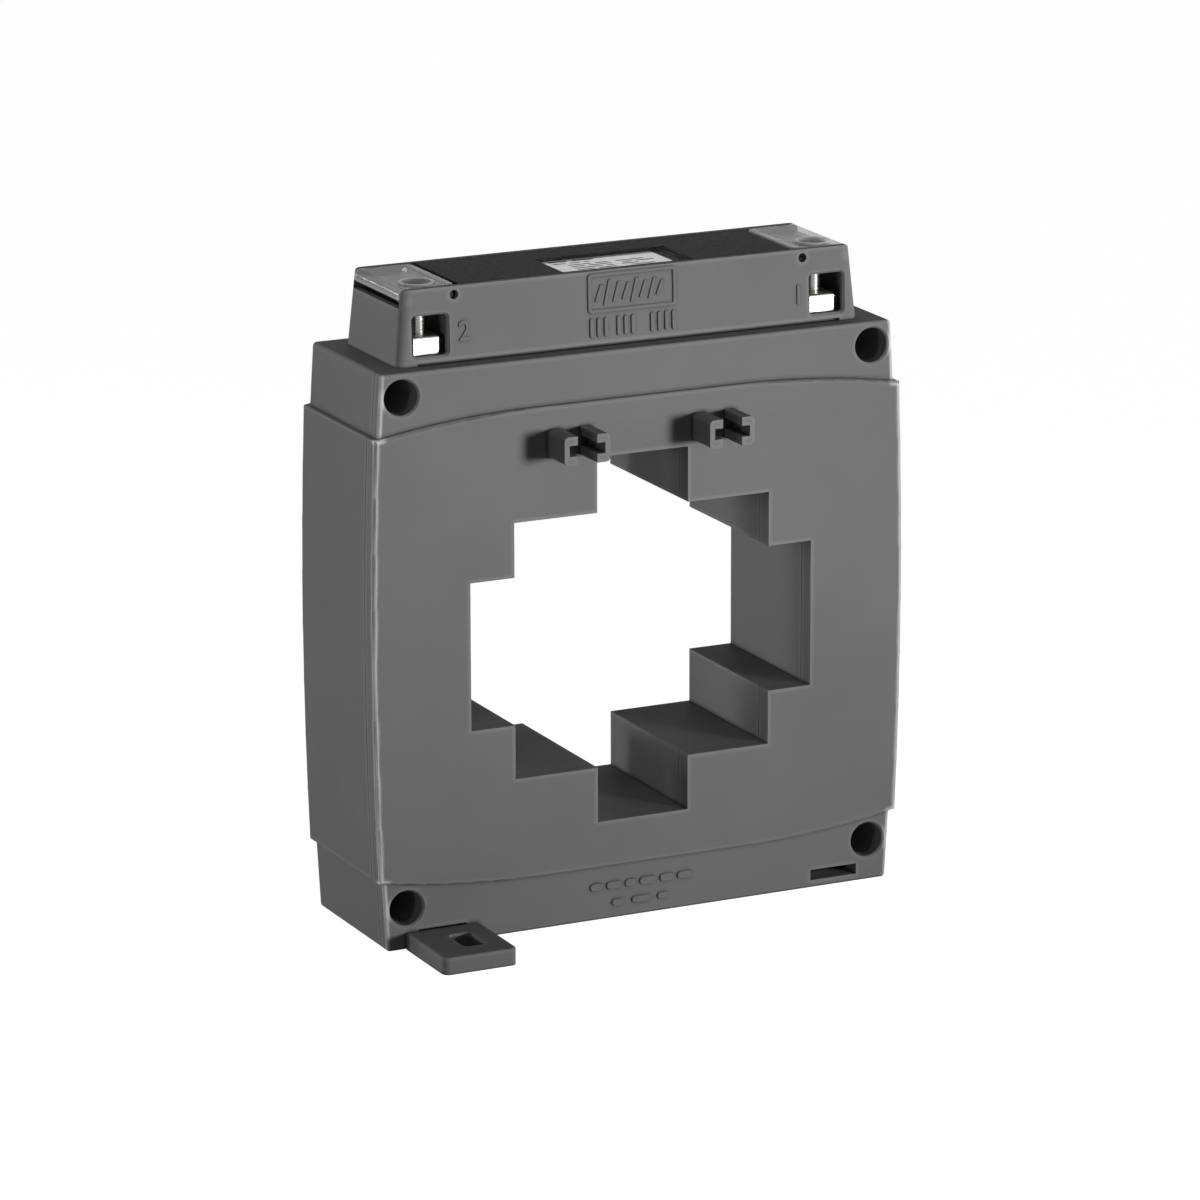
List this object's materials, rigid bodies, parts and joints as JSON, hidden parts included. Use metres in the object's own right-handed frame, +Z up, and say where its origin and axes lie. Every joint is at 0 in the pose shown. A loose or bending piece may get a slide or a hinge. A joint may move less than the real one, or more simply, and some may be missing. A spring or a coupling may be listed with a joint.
{
  "type": "window-type current transformer",
  "caption": "Moulded dark grey current transformer with a stepped busbar window, drafted terminal head, hinged clear terminal covers, clamp terminals, label plate and plug-in foot.",
  "frame": {"origin": "middle of the flat base of the case, at half its depth", "axes": "+X along the width, towards the viewer's right; the front with the studs and the foot faces -Y; +Z up"},
  "size_m": [0.127, 0.057, 0.1435],
  "materials": {
    "case_plastic": "moulded dark grey plastic with a soft sheen",
    "plate_plastic": "near-black semi-gloss plastic",
    "clear_plastic": "clear, slightly smoky moulded plastic",
    "label_stock": null,
    "plated_metal": "bright nickel plating",
    "core_steel": "wound electrical steel strip",
    "copper_wire": "enamelled copper wire",
    "former_plastic": "natural insulating plastic",
    "lead_sleeve": "black insulated wire"
  },
  "bodies": {
    "housing": {"front_cover": "case_plastic", "rear_case": "case_plastic", "secondary_winding": "copper_wire", "core_former_front": "former_plastic", "core_former_rear": "former_plastic", "wound_core": "core_steel", "terminal_head": "case_plastic", "nameplate": "plate_plastic", "label_card": "label_stock", "label_window": "clear_plastic", "mounting_foot": "case_plastic", "contact_strip_left": "plated_metal", "contact_strip_right": "plated_metal", "lead_wire_left": "lead_sleeve", "lead_wire_right": "lead_sleeve"},
    "cover_left": {"terminal_cover_left": "clear_plastic"},
    "cover_right": {"terminal_cover_right": "clear_plastic"},
    "clamp_left": {"clamp_washer_left": "plated_metal"},
    "clamp_right": {"clamp_washer_right": "plated_metal"},
    "screw_left": {"terminal_screw_left": "plated_metal"},
    "screw_right": {"terminal_screw_right": "plated_metal"}
  },
  "joints": [
    {"name": "cover_hinge_left", "type": "hinge", "parent": "housing", "child": "cover_left", "pos_m": [-0.05192, 0, 0.1409], "axis": [0, -1, 0], "range_deg": [0, 105]},
    {"name": "clamp_slide_left", "type": "slide", "parent": "housing", "child": "clamp_left", "axis": [0, 0, -1], "range_m": [0, 0.0028]},
    {"name": "screw_turn_left", "type": "hinge", "parent": "clamp_left", "child": "screw_left", "pos_m": [-0.0471, -0.0066, 0.1399], "axis": [0, 0, -1], "range_deg": [0, 1440]},
    {"name": "cover_hinge_right", "type": "hinge", "parent": "housing", "child": "cover_right", "pos_m": [0.05192, 0, 0.1409], "axis": [0, 1, 0], "range_deg": [0, 105]},
    {"name": "clamp_slide_right", "type": "slide", "parent": "housing", "child": "clamp_right", "axis": [0, 0, -1], "range_m": [0, 0.0028]},
    {"name": "screw_turn_right", "type": "hinge", "parent": "clamp_right", "child": "screw_right", "pos_m": [0.0471, -0.0066, 0.1399], "axis": [0, 0, -1], "range_deg": [0, 1440]}
  ],
  "couplings": [
    {"joint": "screw_turn_left", "follows": "clamp_slide_left", "rad_per_m": 8975.9},
    {"joint": "screw_turn_right", "follows": "clamp_slide_right", "rad_per_m": 8975.9}
  ]
}
